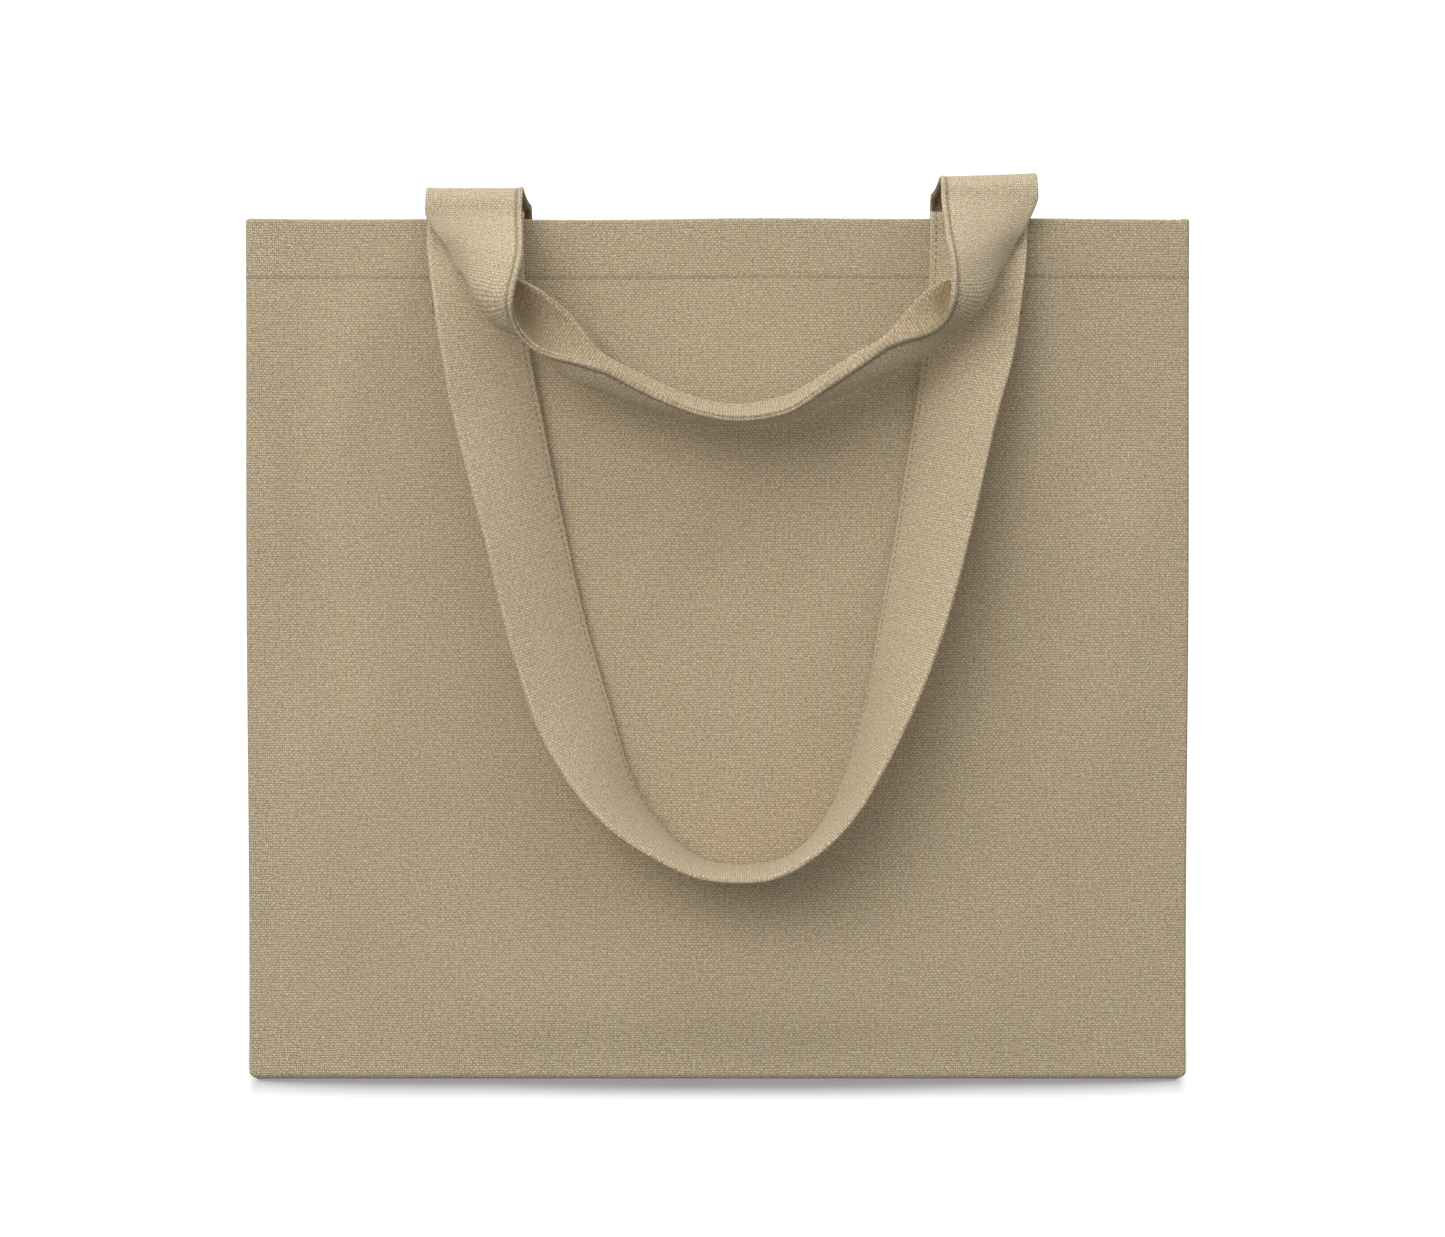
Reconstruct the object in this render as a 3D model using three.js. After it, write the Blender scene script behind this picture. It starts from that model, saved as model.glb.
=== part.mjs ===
// A free-standing canvas tote bag with two strap handles.
//
// Frame: millimetres, +Z up, origin at the middle of the base's underside. The front of the bag faces -Y and
// +X is to the right. Both handles hang down over the front: the front handle turns over the front rim, and the
// rear handle rises from the back rim, reaches forward over the open mouth and hangs in front of the other.

import * as THREE from 'three';

// ---------------------------------------------------------------- driving dimensions

const BAG_WIDTH = 420;
const BAG_HEIGHT = 382;
const BAG_DEPTH = 120;
const CANVAS = 1.2;             // thickness of one layer of canvas
const GAP = 0.3;                // air left between two layers that touch
const CORNER_RADIUS = 6;        // rounded lower corners of the front and back panels
const SIDE_TAPER = 1.5;         // how far each side leans in from mouth to base

const HEM_HEIGHT = 28;
const SEAM_WIDTH = 9;           // seam allowance left inside along a sewn edge
const SEAM_THICKNESS = 2.4;     // two layers of canvas, overlocked together
const THREAD = 0.6;
const THREAD_LIFT = 0.5;        // gap between a loop and its stitching, which follows it in short straight steps
const THREAD_ROOM = 3;          // space between the two handles, so that neither rubs the other's stitching

const STRAP_WIDTH = 43;
const STRAP_THICKNESS = 2.2;    // strap canvas folded to several layers
const SEWN_LENGTH = 44;         // strap end sewn down inside the hem
const BOX_DROP = 23;            // middle of the crossed box of stitching, below the rim

const RIM_BEND = 3.2;           // middle radius of the front handle's turn over the rim
const MOUTH_BEND = 12;          // middle radius of the rear handle's turns over the mouth

// Where each strap crosses the rim: the middle of the front and of the rear handle, and how high above the
// rim the rear handle's middle plane reaches over the mouth.
const CROSSINGS = {
  left: { frontX: -107.5, rearX: -108, clearance: 13.5 },
  right: { frontX: 116, rearX: 120.5, clearance: 20 },
};

const HINGE_GAP = 1.5;          // room left at each turn for the strap to swing

const HALF_WIDTH = BAG_WIDTH / 2;
const HALF_DEPTH = BAG_DEPTH / 2;
const LAYER = CANVAS + GAP;
const ROW_INSET = 2.2;          // distance of the strap's stitch row from its sewn edge

const FRONT = -1;
const BACK = 1;
const LEFT = -1;
const RIGHT = 1;

// ---------------------------------------------------------------- materials

function fabric(name, color, roughness) {
  return new THREE.MeshStandardMaterial({ name, color, roughness, metalness: 0 });
}

const canvas = fabric('canvas', 0xb5a689, 0.95);
const strapCanvas = fabric('strap_canvas', 0xbcad8f, 0.95);
const thread = fabric('thread', 0xc9bb9d, 0.8);

// ---------------------------------------------------------------- helpers

const tote = new THREE.Group();
tote.name = 'canvas_tote_bag';

function addPiece(name, geometry, material) {
  geometry.deleteAttribute('uv');
  const mesh = new THREE.Mesh(geometry, material);
  mesh.name = name;
  tote.add(mesh);
  return mesh;
}

// A box given by its two opposite corners.
function boxBetween(low, high) {
  const size = high.map((value, axis) => value - low[axis]);
  const geometry = new THREE.BoxGeometry(...size);
  geometry.translate(...low.map((value, axis) => (value + high[axis]) / 2));
  return geometry;
}

// Orders two distances from the middle plane so that the smaller comes first.
function span(side, inner, outer) {
  return side > 0 ? [inner, outer] : [-outer, -inner];
}

// A flat outline drawn in the X-Z plane, made solid from y = yLow to y = yLow + depth.
function extrudeFacingY(shape, yLow, depth) {
  const geometry = new THREE.ExtrudeGeometry(shape, { depth, bevelEnabled: false, curveSegments: 6 });
  geometry.rotateX(Math.PI / 2);
  geometry.translate(0, yLow + depth, 0);
  return geometry;
}

// A flat outline drawn with (y, z) coordinates, made solid across a strap's width round x = xMiddle.
function extrudeAcrossStrap(shape, xMiddle) {
  const geometry = new THREE.ExtrudeGeometry(shape, {
    depth: STRAP_WIDTH, bevelEnabled: false, curveSegments: 10,
  });
  const toStrap = new THREE.Matrix4().makeBasis(
    new THREE.Vector3(0, 1, 0), new THREE.Vector3(0, 0, 1), new THREE.Vector3(1, 0, 0));
  geometry.applyMatrix4(toStrap);
  geometry.translate(xMiddle - STRAP_WIDTH / 2, 0, 0);
  return geometry;
}

// ---------------------------------------------------------------- body of the bag

// The front and back panels: full width at the mouth, a little narrower at the rounded lower corners.
function makeWallPanel(name, side) {
  const foot = LAYER;
  const low = HALF_WIDTH - SIDE_TAPER;
  const shape = new THREE.Shape();
  shape.moveTo(-low + CORNER_RADIUS, foot);
  shape.lineTo(low - CORNER_RADIUS, foot);
  shape.quadraticCurveTo(low, foot, low, foot + CORNER_RADIUS);
  shape.lineTo(HALF_WIDTH, BAG_HEIGHT);
  shape.lineTo(-HALF_WIDTH, BAG_HEIGHT);
  shape.lineTo(-low, foot + CORNER_RADIUS);
  shape.quadraticCurveTo(-low, foot, -low + CORNER_RADIUS, foot);
  const [yLow] = span(side, HALF_DEPTH - CANVAS, HALF_DEPTH);
  addPiece(name, extrudeFacingY(shape, yLow, CANVAS), canvas);
}

// The gussets stand between the two panels, inside their side edges.
function makeGusset(name, side) {
  const outer = HALF_WIDTH - SIDE_TAPER - GAP;
  const [xLow, xHigh] = span(side, outer - CANVAS, outer);
  const y = HALF_DEPTH - LAYER;
  addPiece(name, boxBetween([xLow, -y, LAYER], [xHigh, y, BAG_HEIGHT]), canvas);
}

function makeBase() {
  const x = HALF_WIDTH - SIDE_TAPER - CORNER_RADIUS / 2;
  addPiece('base_panel', boxBetween([-x, -HALF_DEPTH, 0], [x, HALF_DEPTH, CANVAS]), canvas);
}

// The hem is the top of each cut turned in once and sewn down.
function makeHems() {
  const zLow = BAG_HEIGHT - HEM_HEIGHT;
  const gussetFace = HALF_WIDTH - SIDE_TAPER - GAP - LAYER;
  for (const [name, side] of [['front_hem', FRONT], ['back_hem', BACK]]) {
    const [yLow, yHigh] = span(side, HALF_DEPTH - LAYER - CANVAS, HALF_DEPTH - LAYER);
    addPiece(name, boxBetween([-gussetFace, yLow, zLow], [gussetFace, yHigh, BAG_HEIGHT]), canvas);
  }
  const y = HALF_DEPTH - 2 * LAYER;
  for (const [name, side] of [['left_hem', LEFT], ['right_hem', RIGHT]]) {
    const [xLow, xHigh] = span(side, gussetFace - CANVAS, gussetFace);
    addPiece(name, boxBetween([xLow, -y, zLow], [xHigh, y, BAG_HEIGHT]), canvas);
  }
}

// One thread runs round the mouth on the outside, just above the hem's lower edge.
function makeHemStitching() {
  const x = HALF_WIDTH + GAP;
  const y = HALF_DEPTH + GAP;
  const ring = new THREE.Shape();
  ring.moveTo(-x - THREAD, -y - THREAD);
  ring.lineTo(x + THREAD, -y - THREAD);
  ring.lineTo(x + THREAD, y + THREAD);
  ring.lineTo(-x - THREAD, y + THREAD);
  ring.closePath();
  const hole = new THREE.Path();
  hole.moveTo(-x, -y);
  hole.lineTo(-x, y);
  hole.lineTo(x, y);
  hole.lineTo(x, -y);
  hole.closePath();
  ring.holes.push(hole);
  const geometry = new THREE.ExtrudeGeometry(ring, { depth: THREAD, bevelEnabled: false });
  geometry.translate(0, 0, BAG_HEIGHT - HEM_HEIGHT + ROW_INSET);
  addPiece('hem_stitching', geometry, thread);
}

// Upright seam allowances in the four inside corners, below the hem.
function makeCornerSeams() {
  const zHigh = BAG_HEIGHT - HEM_HEIGHT - GAP;
  const zLow = LAYER + SEAM_WIDTH + GAP;
  const gussetFace = HALF_WIDTH - SIDE_TAPER - GAP - LAYER;
  const panelFace = HALF_DEPTH - LAYER;
  for (const [depthName, ySide] of [['front', FRONT], ['back', BACK]]) {
    for (const [sideName, xSide] of [['left', LEFT], ['right', RIGHT]]) {
      const [xLow, xHigh] = span(xSide, gussetFace - SEAM_WIDTH, gussetFace);
      const [yLow, yHigh] = span(ySide, panelFace - SEAM_THICKNESS, panelFace);
      const name = `${depthName}_${sideName}_seam`;
      addPiece(name, boxBetween([xLow, yLow, zLow], [xHigh, yHigh, zHigh]), canvas);
    }
  }
}

// Long seam allowances where the front and back panels are sewn to the base.
function makeBaseSeams() {
  const x = HALF_WIDTH - SIDE_TAPER - GAP - LAYER;
  const panelFace = HALF_DEPTH - LAYER;
  for (const [name, side] of [['front_base_seam', FRONT], ['back_base_seam', BACK]]) {
    const [yLow, yHigh] = span(side, panelFace - SEAM_THICKNESS, panelFace);
    addPiece(name, boxBetween([-x, yLow, LAYER], [x, yHigh, LAYER + SEAM_WIDTH]), canvas);
  }
}

// ---------------------------------------------------------------- sewn ends of the straps

const HALF_STRAP = STRAP_THICKNESS / 2;

// Middle plane of a strap end inside the hem, as a distance from the bag's middle plane.
const SEWN_PLANE = HALF_DEPTH - 2 * LAYER - HALF_STRAP;

// The front handle's end goes up inside the hem and turns over the rim.
function makeFrontEnd(name, xMiddle) {
  const centreY = -SEWN_PLANE - RIM_BEND;
  const outer = RIM_BEND + HALF_STRAP;
  const inner = RIM_BEND - HALF_STRAP;
  const foot = BAG_HEIGHT - SEWN_LENGTH;
  const profile = new THREE.Shape();
  profile.moveTo(centreY + inner, foot);
  profile.lineTo(centreY + outer, foot);
  profile.lineTo(centreY + outer, BAG_HEIGHT);
  profile.absarc(centreY, BAG_HEIGHT, outer, 0, Math.PI, false);
  profile.lineTo(centreY - inner, BAG_HEIGHT);
  profile.absarc(centreY, BAG_HEIGHT, inner, Math.PI, 0, true);
  profile.closePath();
  addPiece(name, extrudeAcrossStrap(profile, xMiddle), strapCanvas);
}

// The rear handle's end goes up inside the back hem and turns forward over the mouth.
function makeRearEnd(name, xMiddle, clearance) {
  const centreY = SEWN_PLANE - MOUTH_BEND;
  const centreZ = BAG_HEIGHT + clearance - MOUTH_BEND;
  const outer = MOUTH_BEND + HALF_STRAP;
  const inner = MOUTH_BEND - HALF_STRAP;
  const foot = BAG_HEIGHT - SEWN_LENGTH;
  const profile = new THREE.Shape();
  profile.moveTo(centreY + inner, foot);
  profile.lineTo(centreY + outer, foot);
  profile.lineTo(centreY + outer, centreZ);
  profile.absarc(centreY, centreZ, outer, 0, Math.PI / 2, false);
  profile.lineTo(centreY, centreZ + inner);
  profile.absarc(centreY, centreZ, inner, Math.PI / 2, 0, true);
  profile.closePath();
  addPiece(name, extrudeAcrossStrap(profile, xMiddle), strapCanvas);
}

// The rear handle's reach runs level over the mouth and turns down in front of the rim.
const FRONT_LOOP_Y = -SEWN_PLANE - 2 * RIM_BEND;
const REAR_LOOP_Y = FRONT_LOOP_Y - STRAP_THICKNESS - THREAD_ROOM;

function makeReach(name, xMiddle, clearance) {
  const level = BAG_HEIGHT + clearance;
  const centreY = REAR_LOOP_Y + MOUTH_BEND;
  const centreZ = level - MOUTH_BEND;
  const outer = MOUTH_BEND + HALF_STRAP;
  const inner = MOUTH_BEND - HALF_STRAP;
  const start = SEWN_PLANE - MOUTH_BEND - HINGE_GAP;
  const profile = new THREE.Shape();
  profile.moveTo(start, level - HALF_STRAP);
  profile.lineTo(start, level + HALF_STRAP);
  profile.lineTo(centreY, level + HALF_STRAP);
  profile.absarc(centreY, centreZ, outer, Math.PI / 2, Math.PI, false);
  profile.lineTo(centreY - inner, centreZ);
  profile.absarc(centreY, centreZ, inner, Math.PI, Math.PI / 2, true);
  profile.closePath();
  addPiece(name, extrudeAcrossStrap(profile, xMiddle), strapCanvas);
}

// A square of stitching with a cross in it holds each sewn end; it lies on the strap's inner face.
function makeCrossedBox(name, xMiddle, side) {
  const halfBox = (STRAP_WIDTH - 2 * ROW_INSET) / 2;
  const row = THREAD;
  const square = new THREE.Shape();
  const middleZ = BAG_HEIGHT - BOX_DROP;
  square.moveTo(-halfBox, -halfBox);
  square.lineTo(halfBox, -halfBox);
  square.lineTo(halfBox, halfBox);
  square.lineTo(-halfBox, halfBox);
  square.closePath();
  // The four triangles left open between the square's sides and its diagonals.
  const rim = halfBox - row;
  const reach = rim - row * Math.SQRT1_2 - row * 0.5;
  for (let quarter = 0; quarter < 4; quarter += 1) {
    const turn = (x, z) => {
      const angle = quarter * Math.PI / 2;
      return new THREE.Vector2(
        x * Math.cos(angle) - z * Math.sin(angle), x * Math.sin(angle) + z * Math.cos(angle));
    };
    const hole = new THREE.Path([turn(reach, rim), turn(-reach, rim), turn(0, rim - reach)]);
    square.holes.push(hole);
  }
  const strapFace = SEWN_PLANE - HALF_STRAP - GAP;
  const [yLow] = span(side, strapFace - THREAD, strapFace);
  const geometry = extrudeFacingY(square, yLow, THREAD);
  geometry.translate(xMiddle, 0, middleZ);
  addPiece(name, geometry, thread);
}

// ---------------------------------------------------------------- hanging loops

// A hanging loop is a strap along a route of stations. Each station gives the strap's inner and outer edge in
// front view (x, z), how far the edge that stays back stands off its plane, and how far the strap's middle
// bows out from the line between its edges. The strap keeps its width, so where the edges come together in
// front view, one of them stands forward: the outer edge in the front handle, the inner one in the rear.

const LOOP_STEPS = 96;
const STRAIGHT = 4;             // a loop hangs straight this far below its turn before it leans
const ACROSS = [-1, -0.8, -0.4, 0, 0.4, 0.8, 1];    // places across half the strap's width
const FRONT_LOOP_TOP = BAG_HEIGHT - HINGE_GAP;
const rearLoopTop = (side) => BAG_HEIGHT + CROSSINGS[side].clearance - MOUTH_BEND - HINGE_GAP;

// inner x, inner z, outer x, outer z, stand-off, bow
const FRONT_HANGING = [
  [-86, 368, -128.5, 368, 0, 0],
  [-85.5, 346, -126, 349, 0, 0.5],
  [-83.5, 322, -121, 318, 0, 1],
  [-79, 298, -115.5, 290, 0, 2],
  [-69.5, 250, -102.5, 240, 0, 2],
  [-59.5, 205, -91.5, 195, 0, 2],
  [-48, 165, -76.5, 151.5, 0, 2],
  [-35.5, 127, -51.5, 117, 0, 2],
  [-14, 101.5, -17, 95, 0, 2],
  [8, 94.5, 8, 90, 0, 2],
  [34, 100, 31.5, 94.2, 0, 2],
  [52, 123, 58.5, 116.5, 0, 2],
  [65.6, 165.4, 82, 157, 0, 2],
  [72.5, 203, 98, 196, 0, 2],
  [80.2, 246.5, 110.5, 240, 0, 2],
  [88.5, 299, 122.5, 292, 0, 2],
  [92, 325, 130.5, 321, 0, 1],
  [94, 352, 135, 350, 0, 0.5],
  [94.5, 368, 137, 368, 0, 0],
];

const REAR_HANGING = [
  [-86.5, 369, -124, 374, 3.5, 1],
  [-86.5, 361, -118.5, 367.5, 5, 2.5],
  [-88, 351, -114, 358.5, 6.5, 5],
  [-89.3, 343, -104.5, 354.5, 9, 10],
  [-88.5, 335, -92, 355, 15, 15],
  [-84, 327, -82.5, 351.5, 22, 16.5],
  [-76.5, 321.5, -73, 345.5, 20, 16],
  [-67, 318.8, -62.5, 336.5, 13, 15],
  [-57, 316.5, -53, 324, 8, 13.5],
  [-46.5, 313, -44, 318, 6, 12],
  [-35, 306.7, -33, 312.5, 4, 10.5],
  [-20, 299.3, -18, 305.5, 3, 8.5],
  [-5, 294, -4, 301, 2, 6.5],
  [11, 292, 11, 299.3, 2, 5],
  [30.7, 295.7, 30, 303, 2, 6.5],
  [47, 306.5, 46, 312, 4, 9],
  [60, 315.5, 58.5, 320.5, 6, 12],
  [72.5, 324.5, 72.5, 328.5, 8, 14],
  [79, 327, 78, 334, 11, 15],
  [86.5, 329, 86, 343.5, 14, 16],
  [93.5, 331.5, 94, 350.5, 18, 16.5],
  [99, 336.5, 103.5, 355, 14, 15],
  [101.8, 344, 116, 354.5, 9, 10],
  [102.3, 352, 125, 359, 6.5, 5],
  [102, 362, 130.5, 369.5, 5, 2.5],
  [100.5, 371, 136, 377, 3.5, 1],
];

// A loop's whole route: it leaves each turn flat and straight down.
function hangBetween(leftX, leftTop, rightX, rightTop, hanging) {
  const half = STRAP_WIDTH / 2;
  const left = (z) => [leftX + half, z, leftX - half, z, 0, 0];
  const right = (z) => [rightX - half, z, rightX + half, z, 0, 0];
  return [left(leftTop), left(leftTop - STRAIGHT), ...hanging, right(rightTop - STRAIGHT), right(rightTop)];
}

class StrapRoute {
  constructor(stations, planeY, leadingEdge) {
    const inner = [];
    const outer = [];
    const bows = [];
    for (const [innerX, innerZ, outerX, outerZ, stand, bow] of stations) {
      const chord = STRAP_WIDTH - (8 / 3) * bow * bow / STRAP_WIDTH;
      const seen = Math.hypot(outerX - innerX, outerZ - innerZ);
      const forward = Math.sqrt(Math.max(chord * chord - seen * seen, 0));
      const y = planeY - stand;
      inner.push(new THREE.Vector3(innerX, leadingEdge === 'inner' ? y - forward : y, innerZ));
      outer.push(new THREE.Vector3(outerX, leadingEdge === 'outer' ? y - forward : y, outerZ));
      bows.push(new THREE.Vector3(bow, 0, 0));
    }
    const smooth = (points) => new THREE.CatmullRomCurve3(points, false, 'catmullrom', 0.5);
    this.inner = smooth(inner);
    this.outer = smooth(outer);
    this.bows = smooth(bows);
  }

  edges(t) {
    return { inner: this.inner.getPoint(t), outer: this.outer.getPoint(t), bow: this.bows.getPoint(t).x };
  }

  // A function that gives a point of the strap from its place across (-1 inner edge, 1 outer edge) and its
  // height off the strap's middle surface, on the side that faces forward at the rim.
  section(t) {
    const { inner, outer, bow } = this.edges(t);
    const step = 0.5 / LOOP_STEPS;
    const before = this.edges(Math.max(t - step, 0));
    const after = this.edges(Math.min(t + step, 1));
    const along = after.inner.add(after.outer).sub(before.inner).sub(before.outer).normalize();
    const middle = inner.clone().add(outer).multiplyScalar(0.5);
    const half = outer.clone().sub(inner).multiplyScalar(0.5);
    const face = new THREE.Vector3().crossVectors(half, along).normalize();
    return (across, height) => {
      const slope = half.clone().addScaledVector(face, -2 * bow * across);
      const normal = new THREE.Vector3().crossVectors(slope, along).normalize();
      return middle.clone()
        .addScaledVector(half, across)
        .addScaledVector(face, bow * (1 - across * across))
        .addScaledVector(normal, height);
    };
  }
}

// A bar swept along a strap route. Its section is a closed outline of [across, height] points.
function sweepAlongRoute(route, outline) {
  const positions = [];
  for (let step = 0; step <= LOOP_STEPS; step += 1) {
    const place = route.section(step / LOOP_STEPS);
    for (const [across, height] of outline) {
      const point = place(across, height);
      positions.push(point.x, point.y, point.z);
    }
  }
  const count = outline.length;
  const indices = [];
  for (let step = 0; step < LOOP_STEPS; step += 1) {
    for (let corner = 0; corner < count; corner += 1) {
      const a = step * count + corner;
      const b = step * count + (corner + 1) % count;
      indices.push(a, b + count, b, a, a + count, b + count);
    }
  }
  const last = LOOP_STEPS * count;
  const flat = outline.map(([across, height]) => new THREE.Vector2(across * STRAP_WIDTH / 2, height));
  for (const [a, b, c] of THREE.ShapeUtils.triangulateShape(flat, [])) {
    indices.push(a, b, c);
    indices.push(last + a, last + c, last + b);
  }
  const geometry = new THREE.BufferGeometry();
  geometry.setAttribute('position', new THREE.Float32BufferAttribute(positions, 3));
  geometry.setIndex(indices);
  geometry.computeVertexNormals();
  return geometry;
}

function makeLoop(name, route) {
  const back = ACROSS.map((across) => [across, -HALF_STRAP]);
  const front = ACROSS.map((across) => [across, HALF_STRAP]).reverse();
  addPiece(name, sweepAlongRoute(route, [...back, ...front]), strapCanvas);

  const toAcross = (distance) => -1 + 2 * distance / STRAP_WIDTH;
  const low = HALF_STRAP + THREAD_LIFT;
  const high = low + THREAD;
  const near = toAcross(ROW_INSET);
  const far = toAcross(ROW_INSET + THREAD);
  const row = [[near, low], [far, low], [far, high], [near, high]];
  addPiece(`${name}_stitching`, sweepAlongRoute(route, row), thread);
}

// ---------------------------------------------------------------- assembly

makeWallPanel('front_panel', FRONT);
makeWallPanel('back_panel', BACK);
makeGusset('left_gusset', LEFT);
makeGusset('right_gusset', RIGHT);
makeBase();
makeHems();
makeHemStitching();
makeCornerSeams();
makeBaseSeams();

for (const [sideName, { frontX, rearX, clearance }] of Object.entries(CROSSINGS)) {
  makeFrontEnd(`front_handle_${sideName}_end`, frontX);
  makeRearEnd(`rear_handle_${sideName}_end`, rearX, clearance);
  makeReach(`rear_handle_${sideName}_reach`, rearX, clearance);
  makeCrossedBox(`front_handle_${sideName}_crossed_box`, frontX, FRONT);
  makeCrossedBox(`rear_handle_${sideName}_crossed_box`, rearX, BACK);
}

const { left, right } = CROSSINGS;
const frontStations = hangBetween(left.frontX, FRONT_LOOP_TOP, right.frontX, FRONT_LOOP_TOP, FRONT_HANGING);
const rearStations = hangBetween(
  left.rearX, rearLoopTop('left'), right.rearX, rearLoopTop('right'), REAR_HANGING);
makeLoop('front_handle', new StrapRoute(frontStations, FRONT_LOOP_Y, 'outer'));
makeLoop('rear_handle', new StrapRoute(rearStations, REAR_LOOP_Y, 'inner'));

export default tote;
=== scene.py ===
"""A canvas tote bag with two hanging strap handles: the finished look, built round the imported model."""
import copy
import math
import bpy
import numpy as np
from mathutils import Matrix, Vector, noise


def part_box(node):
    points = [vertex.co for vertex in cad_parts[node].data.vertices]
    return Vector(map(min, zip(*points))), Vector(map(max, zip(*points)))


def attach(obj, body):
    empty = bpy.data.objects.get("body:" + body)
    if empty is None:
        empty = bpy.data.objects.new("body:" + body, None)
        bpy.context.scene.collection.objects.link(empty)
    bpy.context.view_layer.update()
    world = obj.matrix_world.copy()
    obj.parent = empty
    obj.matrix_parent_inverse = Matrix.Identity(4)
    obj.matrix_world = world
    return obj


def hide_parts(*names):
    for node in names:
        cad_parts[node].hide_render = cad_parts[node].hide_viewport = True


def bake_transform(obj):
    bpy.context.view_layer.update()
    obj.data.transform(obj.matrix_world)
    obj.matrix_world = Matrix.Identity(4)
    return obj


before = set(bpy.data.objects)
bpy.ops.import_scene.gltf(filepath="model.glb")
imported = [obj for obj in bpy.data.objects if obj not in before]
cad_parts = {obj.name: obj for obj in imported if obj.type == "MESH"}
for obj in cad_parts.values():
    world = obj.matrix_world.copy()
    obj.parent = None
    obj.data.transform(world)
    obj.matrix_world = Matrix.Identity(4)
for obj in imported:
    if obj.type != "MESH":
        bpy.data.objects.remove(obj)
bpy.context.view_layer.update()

MM = 0.001

# ------------------------------------------------------------------ sizes, from the frame
front_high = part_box("front_panel")[1]
HALF_WIDTH = front_high.x
HEIGHT = front_high.z
HALF_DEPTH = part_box("back_panel")[1].y
HEM_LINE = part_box("front_hem")[0].z
GUSSET_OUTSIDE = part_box("right_gusset")[1].x
SIDE_TAPER = HALF_WIDTH - GUSSET_OUTSIDE       # the sides lean in by this much at the base
STITCH_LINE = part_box("hem_stitching")[0].z
SEWN_LOW, SEWN_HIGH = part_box("rear_handle_left_end")
SEWN_FOOT = SEWN_LOW.z
STRAP_HALF_THICKNESS = 1.1 * MM
SEWN_PLANE = SEWN_HIGH.y - STRAP_HALF_THICKNESS    # middle plane of a strap end inside the hem

CLOTH = 0.9 * MM
BASE_ROUND = 3.0 * MM                          # rounding where a wall turns under to the base
FOOT_ROUND = 4.0 * MM                          # how far the lower corners are rounded off
CORNER_ROUND = 1.6 * MM                        # rounding of the upright edges
RIM_FOLD = 1.2 * MM                            # radius of the rim, where the cloth turns inside
SEAM_LIP = 1.8 * MM                            # how far a wall's edge goes on into its seam
CORNER_COLUMNS = 7                             # mesh columns of an upright edge and its lip

STRAP_WIDTH = 43 * MM
STRAP_HALF = STRAP_WIDTH / 2
ROW_INSET = 2.6 * MM                           # from the strap's inner edge to its row of stitches
RIM_BEND = 3.2 * MM                            # radius of the front strap's turn over the rim
MOUTH_BEND = 12 * MM                           # radius of the rear strap's turns above the mouth
STITCH_PITCH = 3.1 * MM
STITCH_RADIUS = 0.42 * MM
FRONT_PLANE = -SEWN_PLANE - 2 * RIM_BEND
REAR_PLANE = FRONT_PLANE - 5.2 * MM


# ------------------------------------------------------------------ camera, floor and light
def make_camera():
    camera_data = bpy.data.cameras.new("camera")
    camera_data.lens = 129
    camera_data.sensor_width = 36
    camera_data.sensor_fit = "HORIZONTAL"
    camera = bpy.data.objects.new("camera", camera_data)
    camera.location = (0.0022, -HALF_DEPTH - 2.301, 0.2047)
    camera.rotation_euler = (math.radians(90), 0, 0)
    bpy.context.collection.objects.link(camera)
    bpy.context.scene.camera = camera


def make_light(name, location, target, size, power, color):
    data = bpy.data.lights.new(name, "AREA")
    data.shape = "DISK"
    data.size = size
    data.energy = power
    data.color = color
    lamp = bpy.data.objects.new(name, data)
    lamp.location = location
    lamp.rotation_euler = (Vector(target) - Vector(location)).to_track_quat("-Z", "Y").to_euler()
    bpy.context.collection.objects.link(lamp)


def make_world():
    world = bpy.data.worlds.new("studio")
    bpy.context.scene.world = world
    world.use_nodes = True
    nodes, links = world.node_tree.nodes, world.node_tree.links
    background = nodes["Background"]
    where = nodes.new("ShaderNodeTexCoord")
    split = nodes.new("ShaderNodeSeparateXYZ")
    ramp = nodes.new("ShaderNodeValToRGB")
    links.new(where.outputs["Generated"], split.inputs[0])
    links.new(split.outputs["Z"], ramp.inputs[0])
    links.new(ramp.outputs[0], background.inputs["Color"])
    ramp.color_ramp.elements[0].position = 0.0
    ramp.color_ramp.elements[0].color = (0.27, 0.27, 0.275, 1)
    ramp.color_ramp.elements[1].position = 0.75
    ramp.color_ramp.elements[1].color = (0.95, 0.96, 1.0, 1)
    background.inputs["Strength"].default_value = 1.06


def math_node(tree, operation, a, b=None, c=None):
    node = tree.nodes.new("ShaderNodeMath")
    node.operation = operation
    for socket, value in zip(node.inputs, (a, b, c)):
        if value is None:
            continue
        if isinstance(value, (int, float)):
            socket.default_value = value
        else:
            tree.links.new(value, socket)
    return node.outputs[0]


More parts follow.
